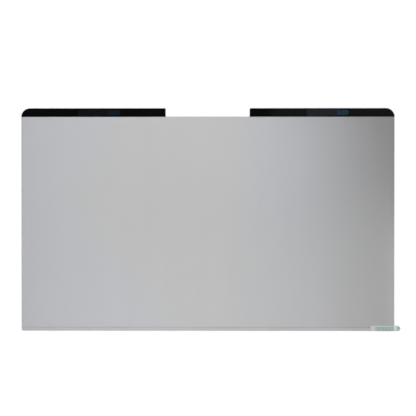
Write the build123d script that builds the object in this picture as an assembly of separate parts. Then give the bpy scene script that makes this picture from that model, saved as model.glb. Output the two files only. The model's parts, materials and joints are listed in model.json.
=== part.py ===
from build123d import *

import os

# Laptop privacy filter for a 14-inch wide screen, lying front up on its back face.
# Millimetres. +X runs to the right of the screen, +Y to its top, +Z out of it towards the viewer.
# The origin is the centre of the screen area, on the back face of the louvre sheet.

# Louvre sheet: the screen area, and above it an ear behind each band
screen_width = 310.0
screen_height = 178.0
sheet_thickness = 0.6
sheet_corner_radius = 1.5

# Bands on the ears, at both ends of the top edge, with the camera gap between them
band_length = 120.0
band_height = 7.0
band_inner_radius = 0.8
tape_thickness = 0.1
band_film_thickness = 0.1

# Mounting strip in the window of each ear, stacked from the band film backwards
strip_length = 25.0
strip_height = 5.0
strip_corner_radius = 0.4
magnet_thickness = 0.4
plate_thickness = 0.12
adhesive_thickness = 0.08
liner_thickness = 0.06
pull_tab_length = 9.5
pull_tab_height = 4.0
window_clearance = 0.15

# Protective film over the screen area, and the peel tab that lifts it
film_thickness = 0.06
film_edge_gap = 0.3
film_bottom_gap = 3.0
peel_tab_length = 24.5
peel_tab_overhang = 5.1
peel_tab_lap = 1.25
peel_tab_thickness = 0.1

# Angles of round ends, in degrees
quarter_turn = 90
half_turn = 180

# Edges of the screen area, and the levels of the stack from the back face forwards
right_edge = screen_width / 2
top_edge = screen_height / 2
bottom_edge = -screen_height / 2
sheet_front = sheet_thickness
tape_front = sheet_front + tape_thickness
film_front = sheet_front + film_thickness


def layer(outline, back, thickness):
    """A flat layer: the outline raised to its back level and thickened forwards."""
    return extrude(Pos(0, 0, back) * outline, thickness)


def screen_outline():
    """The screen area, square at the top and rounded at its two lower corners."""
    sides = FilletPolyline(
        (-right_edge, top_edge),
        (-right_edge, bottom_edge),
        (right_edge, bottom_edge),
        (right_edge, top_edge),
        radius=sheet_corner_radius,
    )
    return make_face(sides + Line((right_edge, top_edge), (-right_edge, top_edge)))


def band_outline(side):
    """A band, and the ear behind it: its outer end is a quarter circle as tall as the band."""
    outer_x = side * right_edge
    inner_x = side * (right_edge - band_length)
    arc_centre_x = side * (right_edge - band_height)
    band_top = top_edge + band_height
    inner_end = FilletPolyline(
        (arc_centre_x, band_top),
        (inner_x, band_top),
        (inner_x, top_edge),
        (outer_x, top_edge),
        radius=[band_inner_radius, 0],
    )
    arc_start = 0 if side > 0 else quarter_turn
    outer_end = CenterArc((arc_centre_x, top_edge), band_height, arc_start, quarter_turn)
    return make_face(inner_end + outer_end)


def strip_place(side):
    """The middle of a band, where its mounting strip sits."""
    return Pos(side * (right_edge - band_length / 2), top_edge + band_height / 2)


def strip_outline(side):
    """Magnet, plate and adhesive share one outline."""
    return strip_place(side) * RectangleRounded(strip_length, strip_height, strip_corner_radius)


def liner_outline(side):
    """The strip's outline, with a round-ended pull tab past its right end."""
    slot_length = pull_tab_length + pull_tab_height
    slot_centre = (strip_length + pull_tab_length - pull_tab_height) / 2
    pull_tab = Pos(slot_centre, 0) * SlotOverall(slot_length, pull_tab_height)
    return strip_outline(side) + strip_place(side) * pull_tab


def window_outline(side):
    """The window in ear and tape follows the liner all round, with a clearance."""
    return offset(liner_outline(side), window_clearance)


def privacy_panel():
    """Louvre sheet with its two ears, cut in one piece, and a window through each ear."""
    outline = screen_outline()
    for side in (-1, 1):
        outline += band_outline(side)
        outline -= window_outline(side)
    return layer(outline, 0, sheet_thickness)


def protective_film():
    """Clear film that stops short of the sheet's edges, and further from its lower edge."""
    width = screen_width - 2 * film_edge_gap
    height = screen_height - film_edge_gap - film_bottom_gap
    centre_y = (film_bottom_gap - film_edge_gap) / 2
    return layer(Pos(0, centre_y) * Rectangle(width, height), sheet_front, film_thickness)


def peel_tab():
    """Strip along the lower right corner, lapped on the film, with a round free end."""
    tab_height = film_bottom_gap + peel_tab_lap
    tab_top = bottom_edge + tab_height
    free_end = right_edge + peel_tab_overhang
    bonded_end = free_end - peel_tab_length
    end_radius = tab_height / 2
    arc_x = free_end - end_radius
    straight_edges = Polyline(
        (arc_x, tab_top),
        (bonded_end, tab_top),
        (bonded_end, bottom_edge),
        (arc_x, bottom_edge),
    )
    round_end = CenterArc((arc_x, bottom_edge + end_radius), end_radius, -quarter_turn, half_turn)
    return layer(make_face(straight_edges + round_end), film_front, peel_tab_thickness)


def band_stack(side):
    """One band: film and tape on the ear, and the mounting strip behind the film, layer by layer."""
    magnet_back = tape_front - magnet_thickness
    plate_back = magnet_back - plate_thickness
    adhesive_back = plate_back - adhesive_thickness
    liner_back = adhesive_back - liner_thickness
    strip = strip_outline(side)
    return {
        "band_film": layer(band_outline(side), tape_front, band_film_thickness),
        "band_tape": layer(band_outline(side) - window_outline(side), sheet_front, tape_thickness),
        "magnet": layer(strip, magnet_back, magnet_thickness),
        "strip_plate": layer(strip, plate_back, plate_thickness),
        "strip_adhesive": layer(strip, adhesive_back, adhesive_thickness),
        "strip_liner": layer(liner_outline(side), liner_back, liner_thickness),
    }


nodes = {
    "privacy_panel": privacy_panel(),
    "protective_film": protective_film(),
    "peel_tab": peel_tab(),
}
for hand, side in (("left", -1), ("right", 1)):
    for piece, solid in band_stack(side).items():
        nodes[f"{hand}_{piece}"] = solid

os.makedirs("parts", exist_ok=True)
for name, solid in nodes.items():
    export_step(solid, f"parts/{name}.step")
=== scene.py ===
"""Laptop privacy filter: fine surfaces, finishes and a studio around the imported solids.

Lengths are in metres, in the frame of the solids: +X to the right of the screen, +Y to its top and +Z out
of it, with the origin at the centre of the screen area, on the back face of the louvre sheet.
"""

import json
from math import cos, pi, radians, sin
from typing import NamedTuple

import bpy
import numpy as np
from bpy.props import FloatProperty, FloatVectorProperty, IntProperty, PointerProperty
from bpy.types import Operator, Panel, PropertyGroup
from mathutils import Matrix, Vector
from mathutils.geometry import tessellate_polygon

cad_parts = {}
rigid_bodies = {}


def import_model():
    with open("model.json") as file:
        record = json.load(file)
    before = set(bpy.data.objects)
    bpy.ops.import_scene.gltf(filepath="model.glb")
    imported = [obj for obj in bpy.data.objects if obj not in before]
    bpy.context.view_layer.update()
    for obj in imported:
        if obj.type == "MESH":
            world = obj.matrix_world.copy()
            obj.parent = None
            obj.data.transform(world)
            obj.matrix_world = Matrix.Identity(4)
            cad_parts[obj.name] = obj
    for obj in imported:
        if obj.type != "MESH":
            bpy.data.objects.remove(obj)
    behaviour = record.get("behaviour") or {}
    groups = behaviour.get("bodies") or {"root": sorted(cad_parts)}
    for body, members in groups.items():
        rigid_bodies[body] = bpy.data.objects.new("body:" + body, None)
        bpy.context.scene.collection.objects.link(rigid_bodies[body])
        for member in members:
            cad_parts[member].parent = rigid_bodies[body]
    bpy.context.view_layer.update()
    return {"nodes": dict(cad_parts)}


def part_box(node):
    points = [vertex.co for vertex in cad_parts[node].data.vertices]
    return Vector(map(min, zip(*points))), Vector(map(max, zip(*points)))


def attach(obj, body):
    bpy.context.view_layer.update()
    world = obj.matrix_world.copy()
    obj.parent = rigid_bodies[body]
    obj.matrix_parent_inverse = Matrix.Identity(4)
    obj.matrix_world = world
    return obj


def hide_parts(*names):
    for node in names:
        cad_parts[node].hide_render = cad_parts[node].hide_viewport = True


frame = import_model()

bl_info = {
    "name": "Laptop Privacy Filter",
    "version": (1, 0, 0),
    "blender": (4, 5, 0),
    "location": "View3D > Sidebar > Privacy Filter",
    "description": "Dresses the solids of a laptop privacy filter and sets up its studio",
    "category": "Object",
}

MM = 0.001
FULL_TURN = 2 * pi
SIDES = ("left", "right")

# An edge that turns by more than the crease looks sharp; points of an outline that lie closer are one point
CREASE = radians(40)
SAME_POINT = 1e-7

# What finishes read from a piece: how much of a point is cut edge, and the map of the print
CUT = "cut"
PRINT_MAP = "print"


def length(name, description, millimetres):
    """A length, written in millimetres and held in metres."""
    return FloatProperty(
        name=name, description=description, default=millimetres * MM, min=0.0, unit="LENGTH", precision=5
    )


def coordinate(name, description, millimetres):
    """A coordinate, written in millimetres and held in metres."""
    return FloatProperty(
        name=name, description=description, default=millimetres * MM, unit="LENGTH", precision=5
    )


def angle(name, description, degrees):
    """An angle, written in degrees and held in radians."""
    return FloatProperty(name=name, description=description, default=radians(degrees), subtype="ANGLE")


def share(name, description, default):
    """A share from 0 to 1."""
    return FloatProperty(
        name=name, description=description, default=default, min=0.0, max=1.0, subtype="FACTOR", precision=3
    )


def amount(name, description, default):
    """A number without a unit."""
    return FloatProperty(name=name, description=description, default=default, min=0.0, precision=3)


def power(name, description, watts):
    """The power of a lamp."""
    return FloatProperty(name=name, description=description, default=watts, min=0.0, unit="POWER")


def colour(name, description, default):
    """A linear colour."""
    return FloatVectorProperty(
        name=name, description=description, default=default, min=0.0, max=1.0, size=3, subtype="COLOR"
    )


class SheetSettings(PropertyGroup):
    """Sizes and colours of the louvre sheet."""

    corner_radius: length("Corner radius", "Round of the two lower corners", 1.5)
    ear_radius: length("Ear radius", "Round of an ear beside the camera gap", 0.8)
    window_clearance: length("Window clearance", "Gap round a mounting strip in its window", 0.15)
    strip_corner_radius: length("Strip corner radius", "Round of a mounting strip's corners", 0.4)
    pull_tab_height: length("Pull tab height", "Height of the liner's round tab", 4.0)
    edge_round: length("Edge round", "Round of the die-cut edges", 0.06)
    louvre_pitch: length("Louvre pitch", "Distance from one louvre to the next", 0.4)
    cool_grey: colour("Cool grey", "Satin grey towards both sides", (0.1665, 0.1658, 0.1731))
    neutral_grey: colour("Neutral grey", "Satin grey about the middle", (0.1682, 0.1665, 0.1638))
    edge_grey: colour("Edge grey", "Cut ends of the louvres", (0.05, 0.051, 0.054))
    patch_left: coordinate("Patch left", "Centre of the bend on the left of the neutral patch", -126.0)
    patch_right: coordinate("Patch right", "Right border of the neutral patch", 36.0)
    patch_level: coordinate("Patch level", "Height at which it reaches furthest left", 24.0)
    patch_slope: share("Patch slope", "How far its left border gives way for each step up or down", 0.85)
    soft_border: length("Soft border", "Half width of the slow changes of grey", 24.0)
    fade_start: coordinate("Fade start", "Where the cool grey starts to fade to the right", 75.0)
    fade_end: coordinate("Fade end", "Where the grey is neutral again", 165.0)
    low_right_warmth: share("Low right warmth", "Cool grey that is lost at the lower right", 0.5)
    shade_width: length("Shade width", "Width of the shade that the film's lower edge throws", 0.6)
    shade_soft: length("Shade softness", "Half width of that shade's soft borders", 0.09)
    shade_drop: length("Shade drop", "How far the middle of that shade lies below the edge", 0.26)
    shade_depth: share("Shade depth", "How dark that shade is", 0.28)
    # Painted highlight: a paler band painted along the lower right edge of the sheet's front
    painted_highlight_width: length("Margin width", "Width of the paler margin along the lower right edge", 9.0)
    painted_highlight_gain: share("Margin gain", "How much lighter that margin is", 0.12)
    bare_start: coordinate("Bare start", "Where the strip below the film starts to turn pale and cool", 60.0)
    bare_end: coordinate("Bare end", "Where it is palest", 125.0)
    bare_gain: share("Bare gain", "How much lighter it is there", 0.1)
    roughness: share("Roughness", "Satin of the sheet's front", 0.42)
    coat: share("Coat", "Weight of the clear gloss over it", 0.35)
    coat_roughness: share("Coat roughness", "Roughness of that gloss", 0.12)


class FilmSettings(PropertyGroup):
    """Sizes and colours of the clear protective film."""

    air_gap: length("Air gap", "Thin air between sheet and film", 0.004)
    lip_height: length("Lip height", "How far the free lower edge stands off the sheet", 0.05)
    lip_reach: length("Lip reach", "Distance over which the lifted edge settles", 3.0)
    lip_end: length("Lip end", "Distance from the peel tab over which the lip ends", 15.0)
    long_wave: length("Long wave", "Length of the long waves along the lip", 150.0)
    short_wave: length("Short wave", "Length of the short waves along the lip", 65.0)
    haze: share("Haze", "How much of the film's own colour each of its faces lays over the sheet", 0.015)
    tint: colour("Tint", "Faint blue of the film", (0.4, 0.48, 0.526))
    roughness: share("Roughness", "Gloss of the film", 0.1)


class BandSettings(PropertyGroup):
    """Sizes and colours of the smoked bands and the tape behind them."""

    edge_round: length("Edge round", "Round of the film's die-cut edge", 0.03)
    corner_radius: length("Corner radius", "Round of the upper corner beside the camera gap", 0.8)
    glue_line: length("Glue line", "Thin gap between tape and film", 0.003)
    smoke: colour("Smoke", "Ink of the band film", (0.0011, 0.0011, 0.0011))
    left_cover: share("Left cover", "How much each face of the left film hides", 0.67)
    right_cover: share("Right cover", "How much each face of the right film hides", 0.535)
    roughness: share("Roughness", "Gloss of the band film", 0.06)
    tape: colour("Tape", "Black tape between film and ear", (0.002, 0.002, 0.0021))


class StripSettings(PropertyGroup):
    """Colours of the mounting strips behind the bands."""

    magnet: colour("Magnet", "Dark plated strip magnet", (0.105, 0.118, 0.172))
    plate: colour("Plate", "Black coated steel", (0.016, 0.016, 0.018))
    adhesive: colour("Adhesive", "Milky adhesive pad", (0.56, 0.56, 0.53))
    liner: colour("Liner", "Blue release film", (0.085, 0.33, 0.6))


class PeelTabSettings(PropertyGroup):
    """Sizes and colours of the peel tab. Its print is placed by shares of the tab's length and height."""

    droop: length("Droop", "How far the free end bends down", 0.15)
    paper: colour("Paper", "Unprinted strip", (0.28, 0.293, 0.291))
    ink: colour("Ink", "Pale green print", (0.13, 0.188, 0.162))
    cover: share("Cover", "How much the tab hides what is behind it", 0.88)
    # Painted light: bare paper past the sheet is painted lighter, standing in for the pale floor seen through
    # it
    painted_backlight: share("Glow", "How much lighter bare paper is past the sheet, with the pale floor behind it", 0.25)
    field_start: share("Field start", "Where the printed field starts along the tab", 0.155)
    field_end: share("Field end", "Where the printed field ends along the tab", 0.77)
    field_top: share("Field top", "Height of the printed field", 0.8)
    chevrons: IntProperty(name="Chevrons", description="Chevrons in the printed field", default=5, min=1)
    chevron_reach: share("Chevron reach", "Height of a chevron above and below its point", 0.23)
    chevron_slant: share("Chevron slant", "How far a chevron trails for each step from its point", 0.7)
    chevron_width: share("Chevron width", "Share of a chevron in each step of the field", 0.4)
    chevron_fade: share("Chevron fade", "How much paler a chevron is than the field", 0.45)
    ring_along: share("Ring along", "Where the ring's middle is along the tab", 0.93)
    ring_up: share("Ring up", "Height of the ring's middle", 0.41)
    ring_inner: share("Ring inner", "Inner radius of the ring, as a share of the tab's height", 0.11)
    ring_outer: share("Ring outer", "Outer radius of the ring, as a share of the tab's height", 0.39)
    wash_ink: share("Wash ink", "Ink of the wash that runs on from the field to the round end", 0.14)
    ring_ink: share("Ring ink", "Ink that the ring adds to the wash", 0.8)
    print_soft: share("Print softness", "Half width of the print's soft borders", 0.03)


class StageSettings(PropertyGroup):
    """Camera, floor and lights."""

    lens: FloatProperty(
        name="Lens", description="Focal length on a 36 mm sensor", default=104.0, min=1.0, unit="CAMERA"
    )
    camera_height: length("Camera height", "Height of the lens above the sheet", 1000.0)
    camera_right: coordinate("Camera right", "How far the lens stands right of the origin", 10.4)
    camera_up: coordinate("Camera up", "How far the lens stands above the origin on the screen", 21.8)
    tilt_up: angle("Tilt up", "Turn of the camera towards the top of the screen", -0.495)
    tilt_side: angle("Tilt to the side", "Turn of the camera towards the left of the screen", 0.58)
    floor: colour("Floor", "Pale floor", (0.97, 0.97, 0.97))
    floor_side: length("Floor side", "Side of the square floor", 16000.0)
    floor_drop: length("Floor drop", "Gap under the sheet", 0.02)
    horizon: amount("Horizon", "Brightness of the sky at the horizon", 0.85)
    zenith: amount("Zenith", "Brightness of the sky overhead", 0.04)
    softbox_watts: power("Softbox power", "Power of each softbox", 53.0)
    softbox_side: length("Softbox side", "Side of each square softbox", 1800.0)
    softbox_distance: length("Softbox distance", "Distance of each softbox from the origin", 4000.0)
    softbox_elevation: angle("Softbox elevation", "Height of each softbox over the floor", 50.0)
    spot_distance: length("Spot distance", "Distance of each spot from its aim", 1200.0)
    spot_radius: length("Spot radius", "Radius of each spot's bulb", 20.0)
    key_watts: power("Key power", "Power of the spot on the left half", 131.0)
    fill_watts: power("Fill power", "Power of the wide spot over the lower edge", 42.0)
    kicker_watts: power("Kicker power", "Power of the low spot past the right edge", 78.0)
    accent_watts: power("Accent power", "Power of the narrow spot by the right band", 13.3)
    card_watts: power("Card power", "Power of the card that the right band mirrors", 0.06)
    card_right: coordinate("Card right", "How far the card's middle is right of the origin", 288.0)
    card_up: coordinate("Card up", "How far the card's middle is above the origin on the screen", 206.0)
    card_height: length("Card height", "Height of the card over the sheet", 1600.0)
    card_width: length("Card width", "Side of the card along the screen's width", 334.0)
    card_depth: length("Card depth", "Side of the card along the screen's height", 300.0)


class FilterSettings(PropertyGroup):
    """Everything that a user would change, piece by piece."""

    sheet: PointerProperty(type=SheetSettings)
    film: PointerProperty(type=FilmSettings)
    bands: PointerProperty(type=BandSettings)
    strips: PointerProperty(type=StripSettings)
    tab: PointerProperty(type=PeelTabSettings)
    stage: PointerProperty(type=StageSettings)


class Shade:
    """A value on a surface: wraps an output socket, and its operators add Math nodes beside it."""

    def __init__(self, finish, socket):
        self.finish = finish
        self.socket = socket

    def maths(self, operation, *values):
        """A Math node on these values, in their order."""
        names = ("Value", "Value_001")
        return self.finish.node("Math", {"operation": operation}, dict(zip(names, values)), "Value")

    def __add__(self, other):
        return self.maths("ADD", self, other)

    def __radd__(self, other):
        return self.maths("ADD", other, self)

    def __sub__(self, other):
        return self.maths("SUBTRACT", self, other)

    def __rsub__(self, other):
        return self.maths("SUBTRACT", other, self)

    def __mul__(self, other):
        return self.maths("MULTIPLY", self, other)

    def __rmul__(self, other):
        return self.maths("MULTIPLY", other, self)

    def __pow__(self, exponent):
        return self.maths("POWER", self, exponent)

    def __abs__(self):
        return self.maths("ABSOLUTE", self)

    def sine(self):
        """The sine of a value in radians."""
        return self.maths("SINE", self)

    def fraction(self):
        """What is left above the whole number."""
        return self.maths("FRACT", self)

    def root(self):
        """The square root."""
        return self.maths("SQRT", self)

    def at_least(self, lowest):
        """The value, or the lowest one if that is more."""
        return self.maths("MAXIMUM", self, lowest)

    def step(self, low, high):
        """A smooth step: 0 up to low, 1 from high on."""
        inputs = {"Value": self, "From Min": low, "From Max": high}
        return self.finish.node("MapRange", {"interpolation_type": "SMOOTHSTEP"}, inputs, "Result")

    def past(self, edge, soft):
        """0 before an edge and 1 past it, with a soft border of that half width."""
        return self.step(edge - soft, edge + soft)

    def between(self, low, high, soft):
        """1 between low and high and 0 outside, with soft borders of that half width."""
        return self.past(low, soft) * (1 - self.past(high, soft))


class Finish:
    """The node tree of one material, or of the world, while it is written."""

    def __init__(self, owner):
        owner.use_nodes = True
        self.owner = owner
        self.tree = owner.node_tree
        self.tree.nodes.clear()

    def node(self, kind, settings, inputs, output):
        """Adds a node of that kind, makes its settings, then sets or links its inputs.

        Returns the output that is named, or the node itself where none is.
        """
        made = self.tree.nodes.new("ShaderNode" + kind)
        for name, value in settings.items():
            setattr(made, name, value)
        sockets = {socket.identifier: socket for socket in made.inputs}
        for name, value in inputs.items():
            if isinstance(value, Shade):
                self.tree.links.new(value.socket, sockets[name])
            else:
                sockets[name].default_value = value
        outputs = {socket.identifier: socket for socket in made.outputs}
        return Shade(self, outputs[output]) if output else made

    def coordinates(self):
        """Object coordinates, as one vector."""
        return self.node("TexCoord", {}, {}, "Object")

    def axes(self, vector):
        """The x, y and z of a vector."""
        split = self.node("SeparateXYZ", {}, {"Vector": vector}, None)
        return [Shade(self, socket) for socket in split.outputs]

    def stretched(self, vector, factors):
        """A vector with each axis multiplied by its own factor."""
        inputs = {"Vector": vector, "Vector_001": factors}
        return self.node("VectorMath", {"operation": "MULTIPLY"}, inputs, "Vector")

    def noise(self, vector, scale, detail=2.0):
        """Noise from 0 to 1, scale waves to a metre."""
        return self.node("TexNoise", {}, {"Vector": vector, "Scale": scale, "Detail": detail}, "Fac")

    def noise_along(self, value, scale, detail=2.0):
        """Noise from 0 to 1 along one value, scale waves to a metre."""
        inputs = {"W": value, "Scale": scale, "Detail": detail}
        return self.node("TexNoise", {"noise_dimensions": "1D"}, inputs, "Fac")

    def attribute(self, name):
        """A value that the mesh carries."""
        return self.node("Attribute", {"attribute_name": name}, {}, "Fac")

    def mix(self, factor, first, second):
        """The first colour where factor is 0, and the second where it is 1."""
        inputs = {"Factor_Float": factor, "A_Color": opaque(first), "B_Color": opaque(second)}
        return self.node("Mix", {"data_type": "RGBA"}, inputs, "Result_Color")

    def scaled(self, tone, factor):
        """A colour made lighter or darker by a factor."""
        tone = tone if isinstance(tone, Shade) else tuple(tone)
        inputs = {"Vector": tone, "Scale": factor}
        return self.node("VectorMath", {"operation": "SCALE"}, inputs, "Vector")

    def bump(self, height, depth, strength):
        """The normal of a relief, whose heights 0 and 1 lie one depth apart."""
        inputs = {"Height": height, "Distance": depth, "Strength": strength}
        return self.node("Bump", {}, inputs, "Normal")

    def surface(self, **inputs):
        """Ends a material in a Principled surface; coat_weight, say, stands for its socket Coat Weight."""
        titles = [name.replace("_", " ").title().replace("Ior", "IOR") for name in inputs]
        shader = self.node("BsdfPrincipled", {}, dict(zip(titles, inputs.values())), "BSDF")
        self.node("OutputMaterial", {}, {"Surface": shader}, None)
        return self.owner


def opaque(tone):
    """A colour as a socket takes it: a link as it is, and three numbers with full alpha."""
    return tone if isinstance(tone, Shade) else (*tone, 1.0)


def new_finish(name):
    """A new material, ready to be written."""
    return Finish(bpy.data.materials.new(name))


def lower_half(look, y):
    """1 in the lower half of the sheet and 0 in the upper one, with a soft border."""
    return 1 - y.past(0, look.soft_border)


def bare_strip(look, x, y):
    """1 at the right end of the strip that the film leaves bare, and 0 on its left and above it."""
    film_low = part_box("protective_film")[0].y
    return x.step(look.bare_start, look.bare_end) * (1 - y.step(film_low - look.shade_drop, film_low))


def sheet_coolness(look, x, y):
    """Share of the cool grey: all over, but for a neutral patch, the right end and some of the lower right.

    The patch's left border is x = left + slope * sqrt((y - level)^2 + soft^2). The bare strip stays cool.
    """
    soft = look.soft_border
    bend = ((y - look.patch_level) ** 2 + soft**2).root()
    past_left = (x - look.patch_left - look.patch_slope * bend).past(0, soft)
    patch = past_left * (1 - x.past(look.patch_right, soft))
    warmth = look.low_right_warmth * x.step(0, look.fade_start) * lower_half(look, y)
    coolness = (1 - patch) * (1 - x.step(look.fade_start, look.fade_end)) * (1 - warmth)
    return coolness + bare_strip(look, x, y) * (1 - coolness)


def sheet_painted_light(look, x, y, z):
    """Painted light and shade on the sheet's colour, as a factor: 1 on its back, a painted shadow below the
    film's lip, and a painted highlight and a paler bare strip at the front's lower right.
    """
    low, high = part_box("privacy_panel")
    front = z.step(low.z, high.z)
    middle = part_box("protective_film")[0].y - look.shade_drop
    half = look.shade_width / 2
    # Painted shadow: a dark line painted on the front just below the film's lower edge
    shade = front * y.between(middle - half, middle + half, look.shade_soft)
    # Painted highlight: the front is painted paler along its lower right edge
    painted_highlight = x.step(high.x - look.painted_highlight_width, high.x) * lower_half(look, y)
    paler = front * (look.painted_highlight_gain * painted_highlight + look.bare_gain * bare_strip(look, x, y))
    return (1 - look.shade_depth * shade) * (1 + paler)


def louvre_finish(look):
    """Satin louvre film: fine upright lines, faint streaks, slow changes of grey, dark cut ends, and painted
    shade and painted highlight on its front.
    """
    finish = new_finish("louvre_sheet")
    place = finish.coordinates()
    x, y, z = finish.axes(place)
    louvres = (x * (FULL_TURN / look.louvre_pitch)).sine()
    slower_upwards = (1.0, 0.03, 1.0)
    streaks = finish.noise(finish.stretched(place, slower_upwards), scale=240.0, detail=3.0) - 0.5
    clouds = finish.noise(place, scale=14.0, detail=3.0) - 0.5
    grain = finish.noise(place, scale=2600.0) - 0.5
    texture = 1 + 0.03 * louvres + 0.09 * streaks + 0.015 * clouds + 0.02 * grain
    tone = finish.mix(sheet_coolness(look, x, y), look.neutral_grey, look.cool_grey)
    face = finish.scaled(tone, texture * sheet_painted_light(look, x, y, z))
    edge = finish.scaled(look.edge_grey, 1 + 0.6 * louvres)
    return finish.surface(
        base_color=finish.mix(finish.attribute(CUT), face, edge),
        roughness=look.roughness + 0.12 * clouds + 0.1 * grain,
        coat_weight=look.coat,
        coat_roughness=look.coat_roughness,
        normal=finish.bump(0.5 * louvres + grain, depth=0.002 * MM, strength=0.3),
    )


def film_finish(look):
    """Clear film: a faint blue haze with soft scuffs and slow waves."""
    finish = new_finish("clear_film")
    place = finish.coordinates()
    scuffs = finish.noise(place, scale=35.0, detail=4.0).step(low=0.55, high=0.8)
    waves = finish.noise(place, scale=22.0, detail=1.0)
    return finish.surface(
        base_color=opaque(look.tint),
        roughness=look.roughness + 0.12 * scuffs,
        alpha=look.haze + 0.006 * scuffs,
        normal=finish.bump(waves, depth=0.1 * MM, strength=0.4),
    )


def smoked_finish(name, look, cover):
    """Smoked gloss film: near-black ink with faint mottling, thin enough to show what is behind it."""
    finish = new_finish(name)
    place = finish.coordinates()
    cloud = finish.noise(place, scale=60.0, detail=3.0) - 0.5
    dust = finish.noise(place, scale=1500.0).step(low=0.7, high=0.85)
    waves = finish.noise(place, scale=45.0, detail=1.0)
    return finish.surface(
        base_color=finish.scaled(look.smoke, 1 + 0.5 * cloud + 0.8 * dust),
        roughness=look.roughness + 0.04 * cloud + 0.1 * dust,
        alpha=cover + 0.02 * cloud,
        normal=finish.bump(waves, depth=0.02 * MM, strength=0.3),
    )


def tape_finish(look):
    """Matte black tape with a fine carrier grain."""
    finish = new_finish("band_tape")
    grain = finish.noise(finish.coordinates(), scale=3000.0, detail=3.0) - 0.5
    return finish.surface(
        base_color=finish.scaled(look.tape, 1 + grain),
        roughness=0.8 + 0.2 * grain,
        specular_ior_level=0.0,
        normal=finish.bump(grain, depth=0.01 * MM, strength=0.4),
    )


def plated_finish(look):
    """Dark plated magnet: fine rolled lines along its length and a soft metal sheen."""
    finish = new_finish("magnet")
    place = finish.coordinates()
    _, y, _ = finish.axes(place)
    lines = finish.noise_along(y, scale=9000.0) - 0.5
    stain = finish.noise(place, scale=220.0, detail=3.0) - 0.5
    return finish.surface(
        base_color=finish.scaled(look.magnet, 1 + 0.3 * lines + 0.3 * stain),
        roughness=0.5 + 0.2 * lines,
        metallic=0.3,
        normal=finish.bump(lines, depth=0.005 * MM, strength=0.3),
    )


def coated_steel_finish(look):
    """Black coated steel with a fine orange-peel relief."""
    finish = new_finish("strip_plate")
    peel = finish.noise(finish.coordinates(), scale=2200.0)
    return finish.surface(
        base_color=finish.scaled(look.plate, 0.8 + 0.4 * peel),
        roughness=0.42 + 0.15 * peel,
        normal=finish.bump(peel, depth=0.01 * MM, strength=0.5),
    )


def adhesive_finish(look):
    """Milky tacky pad with soft bubbles."""
    finish = new_finish("strip_adhesive")
    bubbles = finish.noise(finish.coordinates(), scale=900.0, detail=3.0)
    return finish.surface(
        base_color=finish.scaled(look.adhesive, 0.85 + 0.3 * bubbles),
        roughness=0.25 + 0.3 * bubbles,
        normal=finish.bump(bubbles, depth=0.02 * MM, strength=0.5),
    )


def liner_finish(look):
    """Glossy blue release film with slow streaks from its coating."""
    finish = new_finish("strip_liner")
    place = finish.coordinates()
    x, _, _ = finish.axes(place)
    streaks = finish.noise_along(x, scale=1200.0) - 0.5
    waves = finish.noise(place, scale=300.0, detail=1.0)
    return finish.surface(
        base_color=finish.scaled(look.liner, 1 + 0.2 * streaks),
        roughness=0.2 + 0.1 * streaks,
        normal=finish.bump(waves, depth=0.02 * MM, strength=0.3),
    )


def peel_tab_finish(look):
    """Pale strip with a green field of chevrons, a ring at the round end and a fine paper grain.

    u runs along the tab and v up it, both from 0 to 1. A chevron is the middle of each whole step of
    count * (u - start) / (end - start) + slant * |v - axis|. Past the sheet's edge bare paper is painted
    lighter, as painted light from the pale floor behind it.
    """
    finish = new_finish("peel_tab")
    low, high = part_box("peel_tab")
    u, v, _ = finish.axes(finish.node("UVMap", {"uv_map": PRINT_MAP}, {}, "UV"))
    grain = finish.noise(finish.coordinates(), scale=2500.0) - 0.5
    soft = look.print_soft
    wash = u.past(look.field_start, soft) * (1 - v.past(look.field_top, soft))
    field = wash * (1 - u.past(look.field_end, soft))
    off_axis = abs(v - look.field_top / 2)
    rate = look.chevrons / (look.field_end - look.field_start)
    travel = ((u - look.field_start) * rate + look.chevron_slant * off_axis).fraction()
    within = 1 - off_axis.past(look.chevron_reach, soft)
    middle, half = 0.5, look.chevron_width / 2
    chevrons = within * travel.between(middle - half, middle + half, soft)
    aside = (u - look.ring_along) * ((high.x - low.x) / (high.y - low.y))
    radius = (aside**2 + (v - look.ring_up) ** 2).root()
    ring = radius.between(look.ring_inner, look.ring_outer, soft)
    field_ink = (1 - look.wash_ink) * (1 - look.chevron_fade * chevrons)
    ink = (look.wash_ink * wash + field_ink * field + look.ring_ink * ring) * (0.95 + 0.2 * grain)
    sheet_edge = (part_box("privacy_panel")[1].x - low.x) / (high.x - low.x)
    # Painted light: bare paper past the sheet's edge is painted lighter
    paper = finish.scaled(look.paper, 1 + look.painted_backlight * u.past(sheet_edge, soft))
    return finish.surface(
        base_color=finish.mix(ink, paper, look.ink),
        roughness=0.32 + 0.15 * grain,
        alpha=look.cover + 0.05 * ink,
        normal=finish.bump(grain, depth=0.01 * MM, strength=0.3),
    )


def floor_finish(look):
    """Pale studio floor with a barely visible mottle."""
    finish = new_finish("studio_floor")
    mottle = finish.noise(finish.coordinates(), scale=3.0, detail=3.0) - 0.5
    return finish.surface(
        base_color=finish.scaled(look.floor, 1 + 0.02 * mottle),
        roughness=0.8 + 0.1 * mottle,
        specular_ior_level=0.1,
    )


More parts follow.
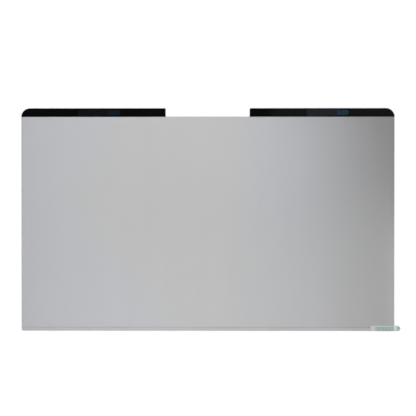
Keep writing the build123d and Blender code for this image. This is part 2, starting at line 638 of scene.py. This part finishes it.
def rounded_loop(corners, radii, steps=16):
    """A closed outline with rounded corners, as points in the order of the corners.

    At each corner the outline leaves its side r * tan(turn / 2) before the corner, and a spoke of length r
    then turns by the corner's angle in even steps about the arc's centre. A corner of radius 0 is one point.
    """
    corners, radii = np.asarray(corners, float), np.asarray(radii, float)
    ahead = np.roll(corners, -1, axis=0) - corners
    ahead /= np.linalg.norm(ahead, axis=1, keepdims=True)
    behind = np.roll(ahead, 1, axis=0)
    crossed = behind[:, 0] * ahead[:, 1] - behind[:, 1] * ahead[:, 0]
    turn = np.arctan2(crossed, (behind * ahead).sum(axis=1))
    spoke = np.stack([behind[:, 1], -behind[:, 0]], axis=1) * (np.sign(turn) * radii)[:, None]
    start = corners - behind * (radii * np.tan(np.abs(turn) / 2))[:, None]
    centre = start - spoke
    swept = turn[:, None] * np.linspace(0, 1, steps + 1)
    c, s = np.cos(swept), np.sin(swept)
    x = centre[:, :1] + spoke[:, :1] * c - spoke[:, 1:] * s
    y = centre[:, 1:] + spoke[:, :1] * s + spoke[:, 1:] * c
    points = np.stack([x, y], axis=-1).reshape(-1, 2)
    apart = np.linalg.norm(points - np.roll(points, 1, axis=0), axis=1)
    return points[apart > SAME_POINT]


def inset(loop, distances):
    """Copies of a closed outline, each moved to its left by one distance, with mitred corners.

    A point moves along (n1 + n2) / (1 + n1 . n2), where n1 and n2 are the left normals of its two sides.
    """
    ahead = np.roll(loop, -1, axis=0) - loop
    ahead /= np.linalg.norm(ahead, axis=1, keepdims=True)
    left = np.stack([-ahead[:, 1], ahead[:, 0]], axis=1)
    before = np.roll(left, 1, axis=0)
    mitre = (left + before) / (1 + (left * before).sum(axis=1, keepdims=True))
    return loop + mitre * np.asarray(distances)[:, None, None]


def grid_quads(index):
    """The faces of a grid of point numbers, whose rows run upwards and columns to the right."""
    corners = [index[:-1, :-1], index[:-1, 1:], index[1:, 1:], index[1:, :-1]]
    return np.stack(corners, axis=-1).reshape(-1, 4)


def edge_profile(back, front, edge_round, steps=4):
    """The section of a die-cut edge, from the back face to the front face.

    It turns a quarter circle of the edge round from the back face to the side, goes up, and turns another
    quarter circle to the front face. Returns each point's distance inwards, its height and its share of side.
    """
    swept = np.linspace(0, pi / 2, steps + 1)
    away = edge_round * (1 - np.sin(swept))
    rise = edge_round * (1 - np.cos(swept))
    side = np.sin(swept)
    distances = np.concatenate([away, away[::-1]])
    heights = np.concatenate([back + rise, front - rise[::-1]])
    return distances, heights, np.concatenate([side, side[::-1]])


def cap_faces(points, rims):
    """Triangles that fill the front between closed rims of point numbers, all facing upwards."""
    rim = np.concatenate(rims)
    cap = np.array(tessellate_polygon([points[index].tolist() for index in rims]))
    a, b, c = (points[rim[cap[:, i]], :2] for i in range(3))
    area = (b[:, 0] - a[:, 0]) * (c[:, 1] - a[:, 1]) - (b[:, 1] - a[:, 1]) * (c[:, 0] - a[:, 0])
    return np.where((area < 0)[:, None], cap[:, ::-1], cap)


def plate(loops, back, front, edge_round):
    """A die-cut plate: the edge profile carried round each outline, and flat faces between the outlines.

    The outer outline runs anticlockwise and holes clockwise, so the plate lies to the left of both. Returns
    points, faces, which faces are round, and each point's share of cut edge.
    """
    distances, heights, on_side = edge_profile(back, front, edge_round)
    rings = len(heights)
    points, cut, walls, rims, first = [], [], [], [], 0
    for loop in loops:
        count = len(loop)
        level = np.broadcast_to(heights[:, None, None], (rings, count, 1))
        points.append(np.concatenate([inset(loop, distances), level], axis=2).reshape(-1, 3))
        cut.append(np.repeat(on_side, count))
        index = first + np.arange(rings * count).reshape(rings, count)
        walls.append(grid_quads(np.column_stack([index, index[:, 0]])))
        rims.append(index)
        first += rings * count
    points, walls = np.concatenate(points), np.concatenate(walls)
    front_rim = np.concatenate([index[-1] for index in rims])
    back_rim = np.concatenate([index[0] for index in rims])
    cap = cap_faces(points, [index[-1] for index in rims])
    faces = walls.tolist() + front_rim[cap].tolist() + back_rim[cap[:, ::-1]].tolist()
    smooth = np.arange(len(faces)) < len(walls)
    return points, faces, smooth, np.concatenate(cut)


def grid_shell(front, back):
    """A closed shell: a front and a back grid of points, rows upwards, and walls round their rims."""
    rows, columns = front.shape[:2]
    index = np.arange(rows * columns).reshape(rows, columns)
    under = rows * columns
    quads = grid_quads(index)
    rim = np.concatenate([index[0], index[1:, -1], index[-1, -2::-1], index[-2:0:-1, 0]])
    beside = np.roll(rim, -1)
    walls = np.stack([rim + under, beside + under, beside, rim], axis=-1)
    faces = np.concatenate([quads, quads[:, ::-1] + under, walls])
    points = np.concatenate([front.reshape(-1, 3), back.reshape(-1, 3)])
    return points, faces.tolist(), np.ones(len(faces), bool)


def add_piece(name, points, faces, smooth, material):
    """Puts a surface into the scene as an object at the origin, with its place in its mesh."""
    mesh = bpy.data.meshes.new(name)
    mesh.from_pydata(points.tolist(), [], faces)
    mesh.materials.append(material)
    mesh.update()
    mesh.set_sharp_from_angle(angle=CREASE)
    mesh.polygons.foreach_set("use_smooth", smooth)
    piece = bpy.data.objects.new(name, mesh)
    bpy.context.scene.collection.objects.link(piece)
    return piece


def set_attribute(piece, name, values):
    """Gives each point of a piece a value that its finish reads."""
    held = piece.data.attributes.new(name, "FLOAT", "POINT")
    held.data.foreach_set("value", np.asarray(values, np.float32))


def set_map(piece, name, spread):
    """Gives a piece a UV map, from one pair of values for each of its points."""
    corners = np.empty(len(piece.data.loops), np.int32)
    piece.data.loops.foreach_get("vertex_index", corners)
    piece.data.uv_layers.new(name=name).data.foreach_set("uv", spread[corners].ravel())


def stand_for(piece, node):
    """Makes a piece ride on the part in place of a solid, which it hides."""
    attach(piece, "root")
    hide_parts(node)


def dress(node, material):
    """Gives a solid that keeps its own mesh a new finish."""
    slots = frame["nodes"][node].data.materials
    slots.clear()
    slots.append(material)


def smooth_step(values, low, high):
    """0 up to low and 1 from high on, with 3t^2 - 2t^3 between them."""
    t = np.clip((values - low) / (high - low), 0, 1)
    return t * t * (3 - 2 * t)


def band_loop(side, radius):
    """A band's outline: square below, a quarter circle as tall as the band outside, a small round inside."""
    low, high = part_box(f"{side}_band_film")
    outer = high.y - low.y
    radii = {"left": (0, 0, radius, outer), "right": (0, 0, outer, radius)}[side]
    return rounded_loop([(low.x, low.y), (high.x, low.y), (high.x, high.y), (low.x, high.y)], radii)


def sheet_loop(look):
    """The sheet's outline: the screen area, with an ear behind each band and the camera gap between them."""
    low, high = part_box("privacy_panel")
    left_band, right_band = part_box("left_band_film"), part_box("right_band_film")
    shoulder = right_band[0].y
    ear = high.y - shoulder
    gap_left, gap_right = left_band[1].x, right_band[0].x
    corners = [
        (low.x, low.y),
        (high.x, low.y),
        (high.x, high.y),
        (gap_right, high.y),
        (gap_right, shoulder),
        (gap_left, shoulder),
        (gap_left, high.y),
        (low.x, high.y),
    ]
    corner, inner = look.corner_radius, look.ear_radius
    return rounded_loop(corners, [corner, corner, ear, inner, 0, 0, inner, ear])


def window_loop(side, look):
    """The window behind a band, clockwise: the strip and the liner's round tab, with a clearance."""
    gap = look.window_clearance
    low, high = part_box(f"{side}_magnet")
    tab_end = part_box(f"{side}_strip_liner")[1].x + gap
    left, right, top = low.x - gap, high.x + gap, high.y + gap
    tab_radius = look.pull_tab_height / 2 + gap
    middle = (low.y + high.y) / 2
    corner = min(look.strip_corner_radius + gap, top - middle - tab_radius)
    half = [
        (left, top, corner),
        (right, top, corner),
        (right, middle + tab_radius, 0),
        (tab_end, middle + tab_radius, tab_radius),
    ]
    mirrored = [(x, 2 * middle - y, radius) for x, y, radius in reversed(half)]
    loop = np.array(half + mirrored)
    return rounded_loop(loop[:, :2], loop[:, 2])


def film_grids(look, columns=141, rows=61):
    """The film's front and back, as grids of points.

    Both faces lie above their own level by gap + height * exp(-(y - edge) / reach) * swell * free, measured
    from the lower edge. The swell along x is an even share and two sine waves, and free falls smoothly to 0
    at the peel tab. Rows stand closest at the lower edge: their heights follow the cube of even steps.
    """
    low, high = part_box("protective_film")
    tab_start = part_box("peel_tab")[0].x
    upwards = low.y + (high.y - low.y) * np.linspace(0, 1, rows) ** 3
    x, y = np.meshgrid(np.linspace(low.x, high.x, columns), upwards)
    even, long, short = 0.6, 0.3, 0.1
    turns = FULL_TURN * x
    swell = even + long * np.sin(turns / look.long_wave) + short * np.sin(turns / look.short_wave)
    free = 1 - smooth_step(x, tab_start - look.lip_end, tab_start)
    lift = look.air_gap + look.lip_height * np.exp(-(y - low.y) / look.lip_reach) * swell * free
    return [np.stack([x, y, level + lift], axis=-1) for level in (high.z, low.z)]


def tab_grids(look, columns=73, rows=25):
    """The peel tab's front and back, as grids of points, and the place of each point for the print.

    Each row runs in even steps from the square end to its own point on the half circle of the free end,
    (centre + r * cos(t), middle + r * sin(t)). Past the sheet's edge both faces sink by droop * s^2, where s
    is the share of the way to the free end.
    """
    low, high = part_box("peel_tab")
    sheet_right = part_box("privacy_panel")[1].x
    radius = (high.y - low.y) / 2
    t = np.linspace(-pi / 2, pi / 2, rows)[:, None]
    row_end = high.x - radius + radius * np.cos(t)
    x = low.x + (row_end - low.x) * np.linspace(0, 1, columns)
    y = np.broadcast_to((low.y + high.y) / 2 + radius * np.sin(t), x.shape)
    sunk = look.droop * np.clip((x - sheet_right) / (high.x - sheet_right), 0, 1) ** 2
    front, back = (np.stack([x, y, level - sunk], axis=-1) for level in (high.z, low.z))
    shares = np.stack([(x - low.x) / (high.x - low.x), (y - low.y) / (high.y - low.y)], axis=-1)
    return front, back, np.tile(shares.reshape(-1, 2), (2, 1))


class PRIVACYFILTER_OT_sheet(Operator):
    """Cut the louvre sheet, with its ears and windows and softly rounded edges"""

    bl_idname = "privacy_filter.sheet"
    bl_label = "Louvre Sheet"

    def execute(self, context):
        look = context.scene.privacy_filter.sheet
        low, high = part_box("privacy_panel")
        loops = [sheet_loop(look)] + [window_loop(side, look) for side in SIDES]
        points, faces, smooth, cut = plate(loops, low.z, high.z, look.edge_round)
        piece = add_piece("louvre_sheet", points, faces, smooth, louvre_finish(look))
        set_attribute(piece, CUT, cut)
        stand_for(piece, "privacy_panel")
        return {"FINISHED"}


class PRIVACYFILTER_OT_film(Operator):
    """Lay the clear film over the sheet, with its free lower edge slightly lifted"""

    bl_idname = "privacy_filter.film"
    bl_label = "Clear Film"

    def execute(self, context):
        look = context.scene.privacy_filter.film
        piece = add_piece("clear_film", *grid_shell(*film_grids(look)), film_finish(look))
        stand_for(piece, "protective_film")
        return {"FINISHED"}


class PRIVACYFILTER_OT_bands(Operator):
    """Face both ears with smoked gloss film on black tape"""

    bl_idname = "privacy_filter.bands"
    bl_label = "Bands"

    def execute(self, context):
        look = context.scene.privacy_filter.bands
        tape = tape_finish(look)
        for side, cover in zip(SIDES, (look.left_cover, look.right_cover)):
            node = f"{side}_band_film"
            low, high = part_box(node)
            loop = band_loop(side, look.corner_radius)
            points, faces, smooth, _ = plate([loop], low.z + look.glue_line, high.z, look.edge_round)
            material = smoked_finish(node, look, cover)
            piece = add_piece(f"{side}_band_face", points, faces, smooth, material)
            stand_for(piece, node)
            dress(f"{side}_band_tape", tape)
        return {"FINISHED"}


class PRIVACYFILTER_OT_strips(Operator):
    """Finish the mounting strips behind the bands: magnet, plate, adhesive and liner"""

    bl_idname = "privacy_filter.strips"
    bl_label = "Mounting Strips"

    def execute(self, context):
        look = context.scene.privacy_filter.strips
        finishes = {
            "magnet": plated_finish(look),
            "strip_plate": coated_steel_finish(look),
            "strip_adhesive": adhesive_finish(look),
            "strip_liner": liner_finish(look),
        }
        for side in SIDES:
            for layer, material in finishes.items():
                dress(f"{side}_{layer}", material)
        return {"FINISHED"}


class PRIVACYFILTER_OT_tab(Operator):
    """Stick the peel tab over the film's corner, with its round free end bent slightly down"""

    bl_idname = "privacy_filter.tab"
    bl_label = "Peel Tab"

    def execute(self, context):
        look = context.scene.privacy_filter.tab
        front, back, places = tab_grids(look)
        piece = add_piece("lift_tab", *grid_shell(front, back), peel_tab_finish(look))
        set_map(piece, PRINT_MAP, places)
        stand_for(piece, "peel_tab")
        return {"FINISHED"}


class Spot(NamedTuple):
    """A soft spot for the part alone: its direction from its aim and its cone, in degrees, and its aim."""

    azimuth: float
    elevation: float
    cone: float
    aim: tuple


SPOTS = {
    "key": Spot(azimuth=101, elevation=46, cone=22.5, aim=(-0.041, -0.006, 0)),
    "fill": Spot(azimuth=119, elevation=52, cone=56, aim=(0.037, -0.5, 0)),
    "kicker": Spot(azimuth=123, elevation=25, cone=8, aim=(0.242, -0.112, 0)),
    "accent": Spot(azimuth=37, elevation=52, cone=9, aim=(0.054, 0.092, 0)),
}


def toward(azimuth, elevation, distance, aim):
    """The point that lies in a direction, in radians, at a distance from the point aimed at."""
    level = cos(elevation)
    return Vector(aim) + distance * Vector((level * cos(azimuth), level * sin(azimuth), sin(elevation)))


def add_lamp(name, kind, place, aim, watts, **settings):
    """A lamp at a place, turned to the point it is aimed at."""
    data = bpy.data.lights.new(name, kind)
    data.energy = watts
    for key, value in settings.items():
        setattr(data, key, value)
    lamp = bpy.data.objects.new(name, data)
    lamp.location = place
    lamp.rotation_euler = (Vector(aim) - place).to_track_quat("-Z", "Y").to_euler()
    bpy.context.scene.collection.objects.link(lamp)
    return lamp


def add_softboxes(look, count=4):
    """Square softboxes all round the part, evenly spaced from an eighth of a turn on."""
    origin = (0, 0, 0)
    for number in range(count):
        azimuth = FULL_TURN * (number / count + 1 / 8)
        place = toward(azimuth, look.softbox_elevation, look.softbox_distance, origin)
        add_lamp(f"softbox_{number}", "AREA", place, origin, look.softbox_watts, size=look.softbox_side)


def add_spots(look, part):
    """Soft spots that light the part alone and show in no reflection."""
    for name, spot in SPOTS.items():
        place = toward(radians(spot.azimuth), radians(spot.elevation), look.spot_distance, spot.aim)
        lamp = add_lamp(
            name,
            "SPOT",
            place,
            spot.aim,
            watts=getattr(look, f"{name}_watts"),
            spot_size=radians(spot.cone),
            spot_blend=1.0,
            shadow_soft_size=look.spot_radius,
        )
        lamp.light_linking.receiver_collection = part
        lamp.visible_glossy = False


def add_card(look):
    """A dim card overhead, facing down, that the right band mirrors to the camera."""
    place = Vector((look.card_right, look.card_up, look.card_height))
    below = (look.card_right, look.card_up, 0)
    sides = {"shape": "RECTANGLE", "size": look.card_width, "size_y": look.card_depth}
    add_lamp("card", "AREA", place, below, look.card_watts, **sides)


def add_floor(look, points_a_side=9):
    """A flat square grid just under the sheet."""
    side = np.linspace(-look.floor_side / 2, look.floor_side / 2, points_a_side)
    x, y = np.meshgrid(side, side)
    points = np.stack([x, y, np.full_like(x, -look.floor_drop)], axis=-1).reshape(-1, 3)
    quads = grid_quads(np.arange(x.size).reshape(x.shape))
    flat = np.zeros(len(quads), bool)
    floor = add_piece("studio_floor", points, quads.tolist(), flat, floor_finish(look))
    return floor


def all_but(floor, scene):
    """A collection of every mesh but the floor, for lamps that light the part alone."""
    part = bpy.data.collections.new("lit_part")
    for piece in scene.objects:
        if piece.type == "MESH" and piece is not floor:
            part.objects.link(piece)
    return part


def add_sky(scene, look):
    """A dim sky: its brightness falls from the horizon to the zenith with the square of 1 - height."""
    scene.world = bpy.data.worlds.new("studio_sky")
    sky = Finish(scene.world)
    direction = sky.node("TexCoord", {}, {}, "Generated")
    _, _, height = sky.axes(direction)
    strength = look.zenith + (look.horizon - look.zenith) * (1 - height.at_least(0.0)) ** 2
    inputs = {"Color": (1.0, 1.0, 1.0, 1.0), "Strength": strength}
    background = sky.node("Background", {}, inputs, "Background")
    sky.node("OutputWorld", {}, {"Surface": background}, None)


def add_camera(scene, look):
    """A camera overhead that looks down, turned slightly about both axes of the screen."""
    camera = bpy.data.objects.new("camera", bpy.data.cameras.new("camera"))
    camera.data.lens = look.lens
    camera.location = (look.camera_right, look.camera_up, look.camera_height)
    camera.rotation_euler = (look.tilt_up, look.tilt_side, 0)
    scene.collection.objects.link(camera)
    scene.camera = camera


class PRIVACYFILTER_OT_stage(Operator):
    """Set the stage: pale floor, dim sky, softboxes, soft spots, a mirrored card and the camera overhead"""

    bl_idname = "privacy_filter.stage"
    bl_label = "Stage"

    def execute(self, context):
        scene = context.scene
        look = scene.privacy_filter.stage
        scene.view_settings.view_transform = "Standard"
        part = all_but(add_floor(look), scene)
        add_sky(scene, look)
        add_softboxes(look)
        add_spots(look, part)
        add_card(look)
        add_camera(scene, look)
        return {"FINISHED"}


# The operators in their order, each with its name, which is also that of its group of settings
STEPS = {
    PRIVACYFILTER_OT_sheet: "sheet",
    PRIVACYFILTER_OT_film: "film",
    PRIVACYFILTER_OT_bands: "bands",
    PRIVACYFILTER_OT_strips: "strips",
    PRIVACYFILTER_OT_tab: "tab",
    PRIVACYFILTER_OT_stage: "stage",
}


class PRIVACYFILTER_PT_panel(Panel):
    """Lists the pieces with their settings"""

    bl_idname = "PRIVACYFILTER_PT_panel"
    bl_label = "Privacy Filter"
    bl_space_type = "VIEW_3D"
    bl_region_type = "UI"
    bl_category = "Privacy Filter"

    def draw(self, context):
        settings = context.scene.privacy_filter
        for step, name in STEPS.items():
            box = self.layout.box()
            box.operator(step.bl_idname)
            look = getattr(settings, name)
            for setting in look.__annotations__:
                box.prop(look, setting)


CLASSES = (
    SheetSettings,
    FilmSettings,
    BandSettings,
    StripSettings,
    PeelTabSettings,
    StageSettings,
    FilterSettings,
    *STEPS,
    PRIVACYFILTER_PT_panel,
)


def register():
    for cls in CLASSES:
        bpy.utils.register_class(cls)
    bpy.types.Scene.privacy_filter = PointerProperty(type=FilterSettings)


def unregister():
    del bpy.types.Scene.privacy_filter
    for cls in reversed(CLASSES):
        bpy.utils.unregister_class(cls)


def main():
    register()
    for name in STEPS.values():
        getattr(bpy.ops.privacy_filter, name)()


if __name__ == "__main__":
    main()
